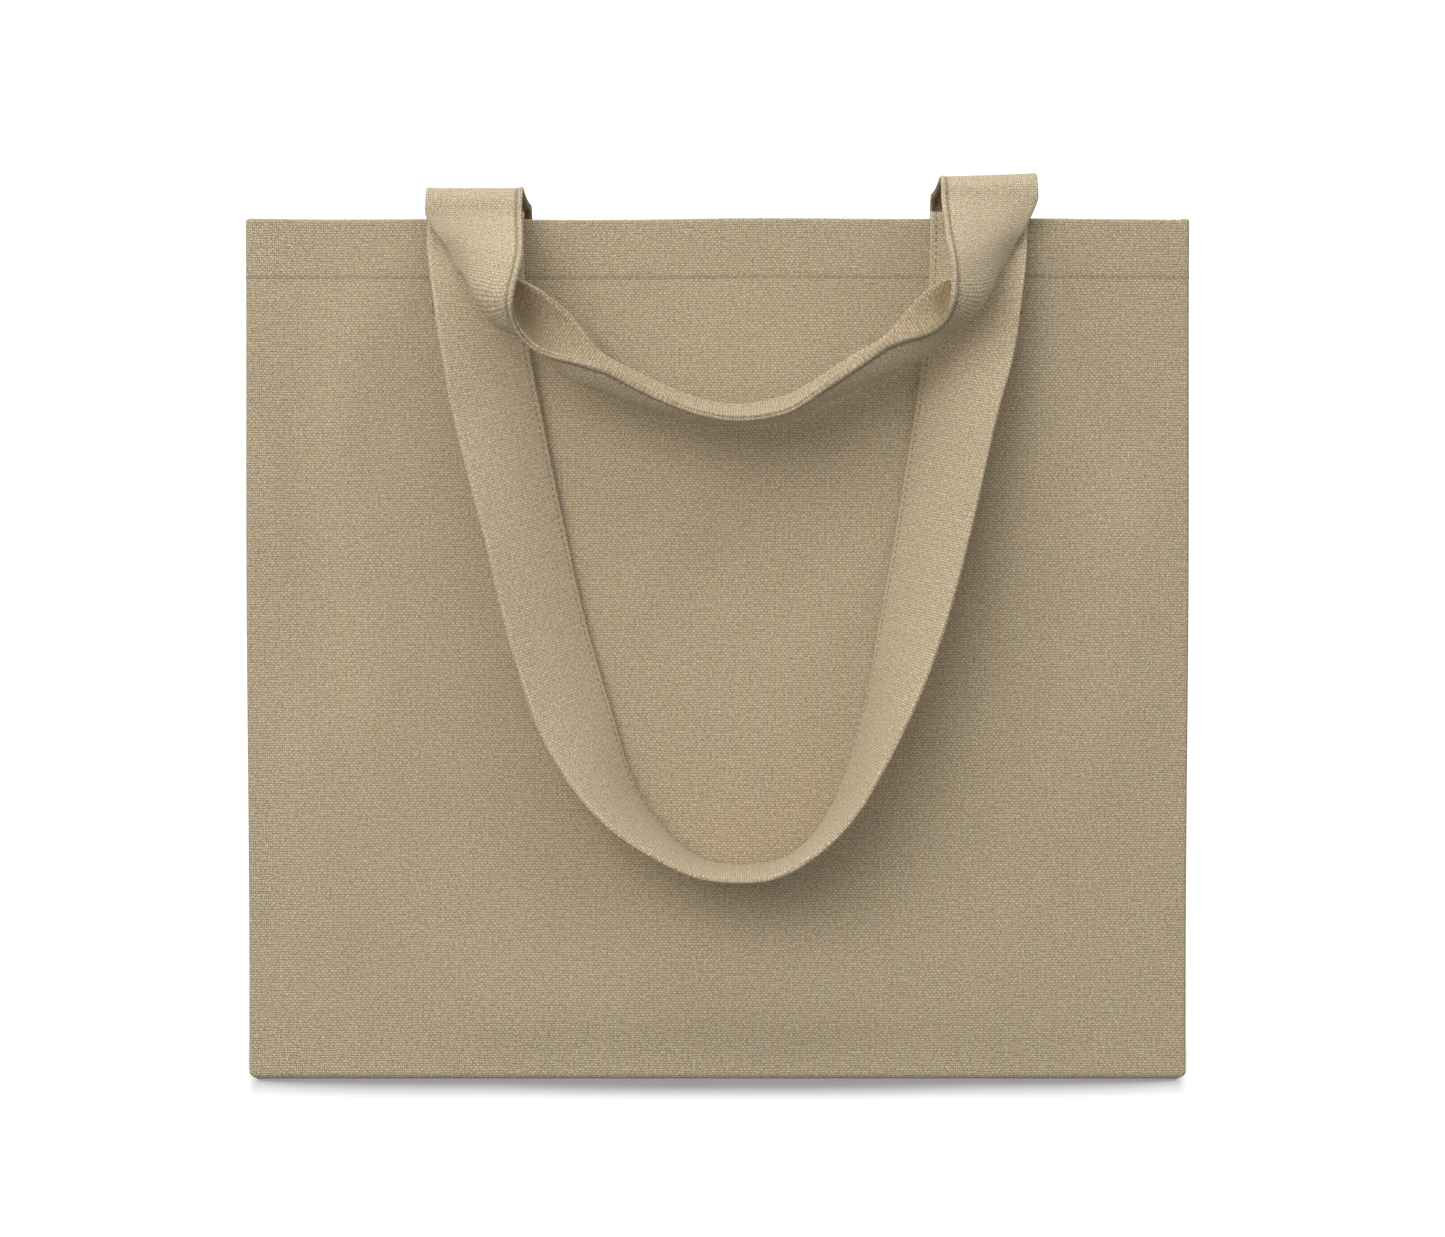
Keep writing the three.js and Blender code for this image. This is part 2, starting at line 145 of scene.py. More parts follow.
def white_material(name, contact_shadow):
    """Plain glowing white; with contact_shadow, a painted contact shadow darkens the floor softly where the
    bag stands close, within the bag's width.
    """
    material = bpy.data.materials.new(name)
    material.use_nodes = True
    tree = material.node_tree
    nodes, links = tree.nodes, tree.links
    nodes.clear()
    out = nodes.new("ShaderNodeOutputMaterial")
    emission = nodes.new("ShaderNodeEmission")
    emission.inputs["Color"].default_value = (1, 1, 1, 1)
    emission.inputs["Strength"].default_value = 1.1
    links.new(emission.outputs[0], out.inputs["Surface"])
    if not contact_shadow:
        return material
    # painted contact shadow: ambient occlusion near the bag dims the floor's glow, masked to the bag's width
    nearness = nodes.new("ShaderNodeAmbientOcclusion")
    nearness.inputs["Distance"].default_value = 0.125
    where = nodes.new("ShaderNodeTexCoord")
    split = nodes.new("ShaderNodeSeparateXYZ")
    links.new(where.outputs["Object"], split.inputs[0])
    aside = math_node(tree, "ABSOLUTE", split.outputs["X"])
    narrowed = math_node(tree, "MULTIPLY_ADD", split.outputs["Y"], -0.1, aside)
    beside = nodes.new("ShaderNodeMapRange")
    beside.interpolation_type = "SMOOTHSTEP"
    beside.inputs["From Min"].default_value = HALF_WIDTH - 0.012
    beside.inputs["From Max"].default_value = HALF_WIDTH + 0.008
    links.new(narrowed, beside.inputs["Value"])
    lit = math_node(tree, "MAXIMUM", beside.outputs["Result"], nearness.outputs["AO"])
    ramp = nodes.new("ShaderNodeValToRGB")
    ramp.color_ramp.elements[0].position = 0.56
    ramp.color_ramp.elements[0].color = (0.30, 0.29, 0.305, 1)
    ramp.color_ramp.elements[1].position = 0.96
    ramp.color_ramp.elements[1].color = (1, 1, 1, 1)
    links.new(lit, ramp.inputs[0])
    links.new(ramp.outputs[0], emission.inputs["Color"])
    return material


def make_stage():
    bpy.ops.mesh.primitive_circle_add(vertices=96, radius=12, fill_type="NGON", location=(0, 0, -0.0004))
    floor = bpy.context.object
    floor.name = "floor"
    floor.data.materials.append(white_material("floor_white", True))
    bpy.ops.mesh.primitive_uv_sphere_add(segments=64, ring_count=32, radius=14)
    dome = bpy.context.object
    dome.name = "white_dome"
    dome.data.materials.append(white_material("dome_white", False))
    for thing in (floor, dome):
        thing.visible_diffuse = False
        thing.visible_glossy = False
    dome.visible_shadow = False


scene = bpy.context.scene
scene.view_settings.view_transform = "Standard"
scene.view_settings.look = "None"
make_camera()
make_world()
make_stage()
make_light("key", (-1.1, -3.1, 1.3), (0, -0.06, 0.2), 2.4, 29, (1.0, 0.985, 0.96))
make_light("near", (-0.95, -1.35, 0.95), (-0.05, -0.06, 0.25), 1.2, 6.5, (1.0, 0.985, 0.96))
make_light("fill", (2.2, -2.6, 1.2), (0, 0, 0.2), 2.4, 4, (0.98, 0.985, 1.0))
make_light("top", (0.1, 0.6, 2.6), (0, 0, 0.2), 1.6, 12, (1, 1, 1))


# ------------------------------------------------------------------ cloth materials
def noise_node(tree, vector, scale, detail, stretch=(1, 1, 1)):
    mapping = tree.nodes.new("ShaderNodeMapping")
    mapping.inputs["Scale"].default_value = stretch
    tree.links.new(vector, mapping.inputs["Vector"])
    node = tree.nodes.new("ShaderNodeTexNoise")
    node.inputs["Scale"].default_value = scale
    node.inputs["Detail"].default_value = detail
    tree.links.new(mapping.outputs[0], node.inputs["Vector"])
    return node.outputs["Fac"]


def ramp_node(tree, value, stops):
    node = tree.nodes.new("ShaderNodeValToRGB")
    while len(node.color_ramp.elements) < len(stops):
        node.color_ramp.elements.new(0.5)
    for element, (position, level) in zip(node.color_ramp.elements, stops):
        element.position = position
        element.color = (level, level, level, 1)
    tree.links.new(value, node.inputs[0])
    return node.outputs[0]


def tint_node(tree, kind, factor, a, b):
    node = tree.nodes.new("ShaderNodeMix")
    node.data_type = "RGBA"
    node.blend_type = kind
    for name, value in (("Factor", factor), ("A", a), ("B", b)):
        kind_of_socket = "VALUE" if name == "Factor" else "RGBA"
        socket = next(s for s in node.inputs if s.name == name and s.type == kind_of_socket)
        if isinstance(value, (int, float)):
            socket.default_value = value
        elif isinstance(value, tuple):
            socket.default_value = (*value, 1)
        else:
            tree.links.new(value, socket)
    return next(s for s in node.outputs if s.type == "RGBA")


def bump_node(tree, shader, height, strength, distance):
    node = tree.nodes.new("ShaderNodeBump")
    node.inputs["Strength"].default_value = strength
    node.inputs["Distance"].default_value = distance
    tree.links.new(height, node.inputs["Height"])
    tree.links.new(node.outputs[0], shader.inputs["Normal"])


def row_shade(tree, across, along, row, depth):
    """Painted shade in the groove where a row of stitches pulls the cloth in, broken into dashes at the
    stitch pitch; across is measured across the row.
    """
    away = math_node(tree, "ABSOLUTE", math_node(tree, "SUBTRACT", across, row / MM))
    wave = math_node(tree, "SINE", math_node(tree, "MULTIPLY", along, 2 * math.pi * MM / STITCH_PITCH))
    pull = math_node(tree, "MULTIPLY_ADD", wave, 0.16, away)
    return ramp_node(tree, math_node(tree, "MULTIPLY", pull, 1 / 1.3), [(0.12, 1 - depth), (0.95, 1.0)])


def weave_material(name, color, row=None, row_axis="X", row_shade_amount=0):
    """Plain weave in millimetres of cloth; row is where a row of stitches lies, measured along row_axis."""
    material = bpy.data.materials.new(name)
    material.use_nodes = True
    tree = material.node_tree
    shader = tree.nodes["Principled BSDF"]
    cloth = tree.nodes.new("ShaderNodeUVMap")
    cloth.uv_map = "cloth"
    millimetres = tree.nodes.new("ShaderNodeVectorMath")
    millimetres.operation = "SCALE"
    millimetres.inputs["Scale"].default_value = 1 / MM
    tree.links.new(cloth.outputs["UV"], millimetres.inputs[0])
    place = millimetres.outputs[0]

    # the yarns wander a little
    split = tree.nodes.new("ShaderNodeSeparateXYZ")
    tree.links.new(place, split.inputs[0])
    wander_u = math_node(tree, "MULTIPLY_ADD", noise_node(tree, place, 0.11, 2), 1.3, split.outputs["X"])
    wander_v = math_node(tree, "MULTIPLY_ADD", noise_node(tree, place, 0.07, 2), 1.6, split.outputs["Y"])
    warp_wave = math_node(tree, "SINE", math_node(tree, "MULTIPLY", wander_u, math.pi * MM / WARP_PITCH))
    weft_wave = math_node(tree, "SINE", math_node(tree, "MULTIPLY", wander_v, math.pi * MM / WEFT_PITCH))
    checker = math_node(tree, "MULTIPLY", warp_wave, weft_wave)
    over = ramp_node(tree, math_node(tree, "MULTIPLY_ADD", checker, 0.5, 0.5), [(0.3, 0), (0.7, 1)])
    warp_round = math_node(tree, "POWER", math_node(tree, "ABSOLUTE", warp_wave), 0.6)
    warp_yarn = math_node(tree, "MULTIPLY", warp_round, 0.72)
    weft_yarn = math_node(tree, "POWER", math_node(tree, "ABSOLUTE", weft_wave), 0.7)
    blend = tree.nodes.new("ShaderNodeMix")
    blend.data_type = "FLOAT"
    tree.links.new(over, blend.inputs[0])
    tree.links.new(weft_yarn, blend.inputs[2])
    tree.links.new(warp_yarn, blend.inputs[3])
    yarn = blend.outputs[0]

    # slubs along both sets of yarns, and fibre fuzz
    weft_slub = noise_node(tree, place, 1.0, 3, (0.10, 0.75, 1))
    warp_slub = noise_node(tree, place, 1.0, 2, (0.85, 0.13, 1))
    fuzz = noise_node(tree, place, 3.2, 3)
    height = math_node(tree, "MULTIPLY_ADD", weft_slub, 0.35, yarn)
    height = math_node(tree, "MULTIPLY_ADD", warp_slub, 0.3, height)
    height = math_node(tree, "MULTIPLY_ADD", fuzz, 0.5, height)
    bump_node(tree, shader, height, 0.75, WEAVE_RELIEF)

    # yarn colour with painted shade between the yarns and a painted highlight on their crowns; streaked
    # along the ribs, faintly mottled, a few dark specks
    dark = tuple(channel * HOLLOW_PAINTED_SHADE for channel in color)
    light = tuple(min(1, channel * CROWN_PAINTED_HIGHLIGHT) for channel in color)
    base = tint_node(tree, "MIX", ramp_node(tree, yarn, [(0.0, 0.0), (0.9, 1.0)]), dark, light)
    streak = ramp_node(tree, weft_slub, [(0.30, 0.95), (0.70, 1.04)])
    cross = ramp_node(tree, warp_slub, [(0.30, 0.96), (0.70, 1.03)])
    mottle = ramp_node(tree, noise_node(tree, place, 0.018, 3), [(0.35, 0.98), (0.65, 1.01)])
    grain = ramp_node(tree, noise_node(tree, place, 0.8, 2), [(0.32, 0.76), (0.68, 1.22)])
    speck = ramp_node(tree, noise_node(tree, place, 0.62, 1, (1, 1.5, 1)), [(0.20, 0.45), (0.27, 1.0)])
    shades = [streak, cross, mottle, grain, speck]
    # painted shade along a row of stitches, in dashes at the stitch pitch
    if row is not None:
        across, along = split.outputs[row_axis], split.outputs["Y" if row_axis == "X" else "X"]
        shades.append(row_shade(tree, across, along, row, row_shade_amount))
    for shade in shades:
        base = tint_node(tree, "MULTIPLY", 1.0, base, shade)
    tree.links.new(base, shader.inputs["Base Color"])
    shader.inputs["Roughness"].default_value = 0.93
    shader.inputs["Specular IOR Level"].default_value = 0.25
    shader.inputs["Sheen Weight"].default_value = 0.12
    shader.inputs["Sheen Roughness"].default_value = 0.5
    return material


def thread_material(name, color):
    """Twisted sewing thread: fine bands that run slantwise along each stitch."""
    material = bpy.data.materials.new(name)
    material.use_nodes = True
    tree = material.node_tree
    shader = tree.nodes["Principled BSDF"]
    where = tree.nodes.new("ShaderNodeTexCoord")
    twist = tree.nodes.new("ShaderNodeTexWave")
    twist.bands_direction = "DIAGONAL"
    twist.inputs["Scale"].default_value = 900
    twist.inputs["Distortion"].default_value = 1.5
    tree.links.new(where.outputs["Object"], twist.inputs["Vector"])
    dark = tuple(channel * 0.72 for channel in color)
    base = tint_node(tree, "MIX", twist.outputs["Fac"], dark, color)
    tree.links.new(base, shader.inputs["Base Color"])
    bump_node(tree, shader, twist.outputs["Fac"], 0.5, 0.1 * MM)
    shader.inputs["Roughness"].default_value = 0.7
    shader.inputs["Sheen Weight"].default_value = 0.2
    return material


WARP_PITCH = 0.95 * MM
WEFT_PITCH = 1.12 * MM
WEAVE_RELIEF = 0.5 * MM
HOLLOW_PAINTED_SHADE = 0.34                            # painted shade between the yarns, against the plain colour
CROWN_PAINTED_HIGHLIGHT = 1.22                             # painted highlight on the crown of a yarn, against the plain colour
CANVAS_COLOR = (0.605, 0.492, 0.322)
STRAP_COLOR = (0.625, 0.51, 0.336)
# painted light: the front strap's colour is the strap colour made about 12% lighter, for the light it
# catches
FRONT_STRAP_LIT_COLOR = (0.70, 0.572, 0.38)
THREAD_COLOR = (0.40, 0.33, 0.22)
canvas_cloth = weave_material("canvas_weave", CANVAS_COLOR)
# the walls and the rear strap carry painted shade along their rows of stitches
wall_cloth = weave_material("wall_weave", CANVAS_COLOR, STITCH_LINE, "Y", 0.20)
front_strap_lit_cloth = weave_material("front_strap_lit_weave", FRONT_STRAP_LIT_COLOR)
rear_strap_cloth = weave_material("rear_strap_weave", STRAP_COLOR, ROW_INSET - STRAP_HALF, "X", 0.36)
thread_cloth = thread_material("sewing_thread", THREAD_COLOR)


# ------------------------------------------------------------------ mesh helpers
def smoothstep(value):
    t = np.clip(value, 0, 1)
    return t * t * (3 - 2 * t)


def link_mesh(name, vertices, faces, material, corner_uv=None):
    mesh = bpy.data.meshes.new(name)
    mesh.from_pydata([tuple(v) for v in vertices], [], [tuple(int(i) for i in f) for f in faces])
    if corner_uv is not None:
        layer = mesh.uv_layers.new(name="cloth")
        loops = np.empty(len(mesh.loops), int)
        mesh.loops.foreach_get("vertex_index", loops)
        layer.data.foreach_set("uv", np.asarray(corner_uv)[loops].astype(np.float32).ravel())
    for polygon in mesh.polygons:
        polygon.use_smooth = len(polygon.vertices) <= 4      # the many-sided faces close the ends
    mesh.materials.append(material)
    mesh.update()
    piece = bpy.data.objects.new(name, mesh)
    bpy.context.collection.objects.link(piece)
    return piece


def grid_normals(points):
    across = np.gradient(points, axis=1)
    up = np.gradient(points, axis=0)
    normal = np.cross(across, up)
    return normal / np.maximum(np.linalg.norm(normal, axis=2, keepdims=True), 1e-9)


def grid_faces(rows, columns, offset=0):
    index = np.arange(rows * columns).reshape(rows, columns) + offset
    a, b, c, d = index[:-1, :-1], index[:-1, 1:], index[1:, 1:], index[1:, :-1]
    return np.stack([a, b, c, d], axis=-1).reshape(-1, 4)


def thick_sheet(name, points, cloth_uv, thickness, material):
    """A sheet given by its outer face, rows by columns, made solid on its inner side."""
    rows, columns = points.shape[:2]
    inner = points - grid_normals(points) * np.asarray(thickness)[..., None]
    count = rows * columns
    vertices = np.concatenate([points.reshape(-1, 3), inner.reshape(-1, 3)])
    outer_faces = grid_faces(rows, columns)
    inner_faces = grid_faces(rows, columns, count)[:, ::-1]
    index = np.arange(count).reshape(rows, columns)
    loop = np.concatenate([index[0, :-1], index[:-1, -1], index[-1, :0:-1], index[:0:-1, 0]])
    nxt = np.roll(loop, -1)
    rim = np.stack([nxt, loop, loop + count, nxt + count], axis=-1)
    uv = np.concatenate([cloth_uv.reshape(-1, 2)] * 2)
    faces = np.concatenate([outer_faces, inner_faces, rim])
    return link_mesh(name, vertices, faces, material, uv)


def tube(points, radius, sides):
    """Vertices and faces of a closed-ended tube along the points."""
    points = np.asarray(points, float)
    along = np.gradient(points, axis=0)
    along /= np.linalg.norm(along, axis=1, keepdims=True)
    aside = np.cross(along, (0.31, 0.22, 0.93))
    aside /= np.linalg.norm(aside, axis=1, keepdims=True)
    other = np.cross(along, aside)
    turn = np.linspace(0, 2 * math.pi, sides, endpoint=False)
    rings = (points[:, None] + radius * (np.cos(turn)[None, :, None] * aside[:, None]
                                         + np.sin(turn)[None, :, None] * other[:, None]))
    count = len(points)
    index = np.arange(count * sides).reshape(count, sides)
    around = np.roll(index, -1, axis=1)
    body = np.stack([index[:-1], around[:-1], around[1:], index[1:]], axis=-1).reshape(-1, 4)
    faces = [tuple(f) for f in body] + [tuple(index[0][::-1]), tuple(index[-1])]
    return rings.reshape(-1, 3), faces


def stitch(centre, along, normal, length):
    """One raised stitch whose two ends dive into the cloth."""
    aside = np.cross(along, normal)
    sides = 6
    turn = np.linspace(0, 2 * math.pi, sides, endpoint=False)
    vertices = []
    for place, girth in ((-1.0, 0.35), (-0.6, 0.9), (0.0, 1.0), (0.6, 0.9), (1.0, 0.35)):
        middle = centre + along * place * length / 2 + normal * STITCH_RADIUS * (0.55 - 1.5 * place * place)
        for angle in turn:
            spoke = math.cos(angle) * aside + math.sin(angle) * normal
            vertices.append(middle + STITCH_RADIUS * girth * spoke)
    faces = []
    for ring in range(4):
        for side in range(sides):
            a = ring * sides + side
            b = ring * sides + (side + 1) % sides
            faces.append((a, a + sides, b + sides, b))
    faces.append(tuple(range(sides)))
    faces.append(tuple(range(5 * sides - 1, 4 * sides - 1, -1)))
    return vertices, faces


class ThreadWork:
    """Gathers stitches and thread tubes, then makes one piece of them."""

    def __init__(self, name):
        self.name = name
        self.vertices = []
        self.faces = []

    def add(self, vertices, faces):
        start = len(self.vertices)
        self.vertices.extend(vertices)
        self.faces.extend(tuple(i + start for i in face) for face in faces)

    def row(self, path, normals, pitch=STITCH_PITCH):
        """Stitches along a path of close points, each with the cloth's normal there."""
        path = np.asarray(path, float)
        normals = np.asarray(normals, float)
        steps = np.linalg.norm(np.diff(path, axis=0), axis=1)
        length = np.concatenate([[0], np.cumsum(steps)])
        count = max(int(length[-1] / pitch), 1)
        for k in range(count):
            here = (k + 0.5) * length[-1] / count
            low = max(here - pitch * 0.4, 0)
            high = min(here + pitch * 0.4, length[-1])
            point = [np.interp(here, length, path[:, i]) for i in range(3)]
            start = np.array([np.interp(low, length, path[:, i]) for i in range(3)])
            end = np.array([np.interp(high, length, path[:, i]) for i in range(3)])
            normal = np.array([np.interp(here, length, normals[:, i]) for i in range(3)])
            along = (end - start) / max(np.linalg.norm(end - start), 1e-9)
            normal -= along * normal.dot(along)
            normal /= max(np.linalg.norm(normal), 1e-9)
            self.add(*stitch(np.array(point), along, normal, pitch * 0.78))

    def finish(self):
        return link_mesh(self.name, self.vertices, self.faces, thread_cloth)


# ------------------------------------------------------------------ the bag's shell
# soft creases of a wall, each from one point to another (x, z), with its half width and its height, in mm
FRONT_CREASES = [
    (-196, 330, -158, 150, 15, -3.3),
    (-178, 300, -138, 70, 18, 2.7),
    (-202, 190, -160, 40, 16.5, 3.0),
    (-150, 372, -176, 250, 13.5, 2.4),
    (150, 378, 184, 240, 16.5, -2.4),
    (196, 300, 172, 90, 19.5, 2.7),
    (-60, 60, 90, 34, 24, 1.5),
    (-20, 250, 60, 205, 39, -3.6),
]
BACK_CREASES = [
    (-180, 340, -120, 120, 18, 3.6),
    (178, 330, 140, 90, 18, -3.9),
    (-60, 240, 70, 190, 36, -4.8),
    (30, 90, 150, 40, 21, 4.2),
]


def crease_height(x, z, creases):
    total = np.zeros_like(x)
    for x0, z0, x1, z1, width, height in creases:
        start = np.array((x0, z0)) * MM
        run = np.array((x1, z1)) * MM - start
        length = np.linalg.norm(run)
        dx, dz = x - start[0], z - start[1]
        along = (dx * run[0] + dz * run[1]) / length
        off = (dx * run[1] - dz * run[0]) / length
        fade = smoothstep(along / (0.35 * length)) * smoothstep((length - along) / (0.35 * length))
        total += height * MM * fade * np.exp(-(off / (width * MM)) ** 2)
    return total


def noise_field(x, z, scale, seed):
    flat = [noise.noise(Vector((a / scale, b / scale, seed))) for a, b in zip(x.ravel(), z.ravel())]
    return np.array(flat).reshape(x.shape)


def vertical_profile():
    """Rows of a wall, from the base seam to the far side of the rim fold: inset, height and cloth length."""
    rows = [(BASE_ROUND * 0.85, BASE_ROUND * 0.10 + SEAM_LIP * 0.6)]
    for angle in np.radians(np.linspace(78, 0, 8)):
        rows.append((BASE_ROUND * (1 - math.cos(angle)), BASE_ROUND * (1 - math.sin(angle))))
    top = HEIGHT - RIM_FOLD
    plain = np.arange(BASE_ROUND + 2.4 * MM, STITCH_LINE - 4 * MM, 2.4 * MM)
    dense = np.linspace(STITCH_LINE - 3 * MM, STITCH_LINE + 3 * MM, 13)
    above = np.arange(STITCH_LINE + 4.5 * MM, top - 0.5 * MM, 1.6 * MM)
    rows += [(0, z) for z in (*plain, *dense, *above)]
    for angle in np.radians(np.linspace(0, 178, 10)):
        rows.append((RIM_FOLD * (1 - math.cos(angle)), top + RIM_FOLD * math.sin(angle)))
    inset, height = np.array(rows).T
    length = np.concatenate([[0], np.cumsum(np.hypot(np.diff(inset), np.diff(height)))])
    stitched = np.abs(height - STITCH_LINE).argmin()
    return inset, height, length + height[stitched] - length[stitched]


def around_corner(distance, half, corner):
    """Along and outward coordinates at a distance from a wall's middle, round its rounded vertical edge."""
    flat = half - corner
    turn = np.clip((np.abs(distance) - flat) / corner, 0, math.pi / 4)
    lip = np.maximum(np.abs(distance) - flat - corner * math.pi / 4, 0)
    along = np.minimum(np.abs(distance), flat) + corner * np.sin(turn) - lip * math.sqrt(0.5)
    inward = corner * (1 - np.cos(turn)) + lip * math.sqrt(0.5)
    return np.sign(distance) * along, inward


def side_lean(z):
    """How far the sides stand in from the mouth's half width at height z, with the softness of cloth."""
    foot = FOOT_ROUND * (1 - np.sqrt(1 - np.clip(1 - z / FOOT_ROUND, 0, 1) ** 2))
    lean = SIDE_TAPER * (1 - z / HEIGHT) + 0.6 * foot
    return lean + 0.25 * MM * np.sin(z / (47 * MM))


def rim_wave(along, z, seed):
    weight = smoothstep((z - 0.7 * HEIGHT) / (0.3 * HEIGHT))
    wave = 0.30 * MM * np.sin(along / (53 * MM) + seed) + 0.2 * MM * np.sin(along / (21 * MM) + 2 * seed)
    return weight * (wave + 0.5 * MM)


def columns_of(half, step):
    edge = half - CORNER_ROUND
    inner = np.linspace(-edge, edge, int(2 * edge / step) + 1)
    bend = np.linspace(0, CORNER_ROUND * math.pi / 4, 5)[1:]
    lip = np.linspace(0, SEAM_LIP, 4)[1:] + bend[-1]
    tail = np.concatenate([bend, lip])
    return np.concatenate([-(edge + tail)[::-1], inner, edge + tail])


# for each wall, the x and y of the direction along it and of the direction outward
WALL_DIRECTIONS = {
    "front": (1, 0, 0, -1),
    "back": (-1, 0, 0, 1),
    "right": (0, 1, 1, 0),
    "left": (0, -1, -1, 0),
}


def wall_points(kind, columns_half, other_half, relief, seed):
    """Outer face of a wall: 'front', 'back', 'left' or 'right'."""
    inset, height, length = vertical_profile()
    distances = columns_of(columns_half, 2.6 * MM)
    s, z = np.meshgrid(distances, height)
    inset_grid = np.repeat(inset[:, None], len(distances), axis=1)
    is_wide = kind in ("front", "back")
    lean = side_lean(z)
    half = columns_half - inset_grid - (lean if is_wide else 0)
    scaled = s * half / columns_half
    edge_keep = np.abs(s) > columns_half - CORNER_ROUND
    scaled = np.where(edge_keep, np.sign(s) * (np.abs(s) - columns_half + half), scaled)
    along, inward = around_corner(scaled, half, CORNER_ROUND)
    outward = other_half - inset_grid - inward - (0 if is_wide else lean)
    calm = smoothstep((columns_half - CORNER_ROUND - np.abs(s)) / (30 * MM))
    calm *= smoothstep((z - BASE_ROUND) / (25 * MM))
    outward = outward + relief(along, z) * calm
    z_out = z + rim_wave(along, z, seed) * (1 if is_wide else 0.6)
    along_x, along_y, out_x, out_y = WALL_DIRECTIONS[kind]
    x = along_x * along + out_x * outward
    y = along_y * along + out_y * outward
    uv = np.stack([s, np.repeat(length[:, None], len(distances), axis=1)], axis=-1)
    return np.stack([x, y, z_out], axis=-1), uv


def stitch_dimple(z):
    return -0.12 * MM * np.exp(-((z - STITCH_LINE) / (1.1 * MM)) ** 2)


def hem_step(z):
    return 0.05 * MM * smoothstep((z - STITCH_LINE) / (4 * MM))


def middle_weight(across, half):
    """1 on a wall's middle line, falling to 0 at its sides."""
    return np.cos(np.clip(across / half, -1, 1) * math.pi / 2)


def front_relief(x, z):
    """The front hangs nearly flat under the straps, sinks a little in the middle, and fills out low."""
    sink = -1.6 * MM * middle_weight(x, HALF_WIDTH) * smoothstep((z - 0.1) / 0.2)
    belly = 3.6 * MM * np.exp(-((z - 35 * MM) / (38 * MM)) ** 2) * middle_weight(x, HALF_WIDTH)
    soft = 0.9 * MM * noise_field(x, z, 95 * MM, 3.1) + 0.35 * MM * noise_field(x, z, 34 * MM, 7.7)
    creases = crease_height(x, z, FRONT_CREASES)
    return sink + belly + soft - 0.6 * MM + creases + stitch_dimple(z) + hem_step(z)


def back_relief(x, z):
    sink = -2.2 * MM * middle_weight(x, HALF_WIDTH) * smoothstep((z - 0.12) / 0.2)
    belly = 3.2 * MM * np.exp(-((z - 45 * MM) / (45 * MM)) ** 2)
    soft = 1.2 * MM * noise_field(x, z, 90 * MM, 13.4) + 0.4 * MM * noise_field(x, z, 33 * MM, 17.2)
    return sink + belly + soft + crease_height(x, z, BACK_CREASES) + stitch_dimple(z) + hem_step(z)


def gusset_relief(y, z):
    """A gusset falls inward along its middle, more towards the mouth, with a soft upright crease."""
    fall = smoothstep((z - 30 * MM) / (300 * MM))
    bowl = -7.5 * MM * fall * middle_weight(y, HALF_DEPTH) ** 1.5
    crease = -1.8 * MM * fall * np.exp(-(np.abs(y) / (7 * MM)) ** 1.3)
    soft = 0.9 * MM * noise_field(y, z, 60 * MM, 21.0)
    return bowl + crease + soft + stitch_dimple(z) + hem_step(z)


WALLS = {
    "front": (HALF_WIDTH, HALF_DEPTH, front_relief, 0.4),
    "back": (HALF_WIDTH, HALF_DEPTH, back_relief, 2.2),
    "left": (HALF_DEPTH, HALF_WIDTH, gusset_relief, 1.3),
    "right": (HALF_DEPTH, HALF_WIDTH, gusset_relief, 3.1),
}
WALL_NODES = {"front": "front_panel", "back": "back_panel", "left": "left_gusset", "right": "right_gusset"}


def make_wall(kind):
    points, uv = wall_points(kind, *WALLS[kind])
    thickness = np.full(points.shape[:2], CLOTH)
    thickness[:, :3] *= 0.45
    thickness[:, -3:] *= 0.45
    thickness[-9:, :] *= 0.8
    piece = thick_sheet(f"{WALL_NODES[kind]}_cloth", points, uv, thickness, wall_cloth)
    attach(piece, "bag")
    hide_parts(WALL_NODES[kind])
    return piece, points


def make_hem(kind, wall):
    """The turned-in hem hangs inside the wall from the rim fold, with its raw edge rolled under."""
    width = wall.shape[1]
    inside = wall[-1]
    normals = grid_normals(wall)
    heights = np.linspace(HEIGHT - RIM_FOLD, HEM_LINE - 1.5 * MM, 20)
    rows = []
    for z in heights:
        source = np.abs(wall[:-10, width // 2, 2] - z).argmin()
        rows.append(wall[source] - normals[source] * (2 * RIM_FOLD - 0.25 * MM) * np.array((1, 1, 0)))
        rows[-1][:, 2] = z
    rows[0] = inside * 1.0
    last = rows[-1]
    roll = normals[20] * np.array((1, 1, 0))
    for angle in np.radians((45, 90, 135, 180)):
        drop = np.array((0, 0, 0.6 * MM * math.sin(angle)))
        rows.append(last + roll * 0.55 * MM * (1 - math.cos(angle)) - drop)
    points = np.array(rows)[:, CORNER_COLUMNS:-CORNER_COLUMNS][::-1][:, ::-1]
    lengths = np.linalg.norm(np.diff(points[:, points.shape[1] // 2], axis=0), axis=1)
    v = np.concatenate([[0], np.cumsum(lengths)])
    u = np.linspace(0, 1, points.shape[1]) * np.linalg.norm(points[0, 0] - points[0, -1])
    uv = np.stack(np.meshgrid(u, v), axis=-1)
    node = f"{kind}_hem"
    piece = thick_sheet(f"{node}_cloth", points, uv, np.full(points.shape[:2], CLOTH * 0.8), canvas_cloth)
    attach(piece, "bag")
    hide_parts(node)
    return piece


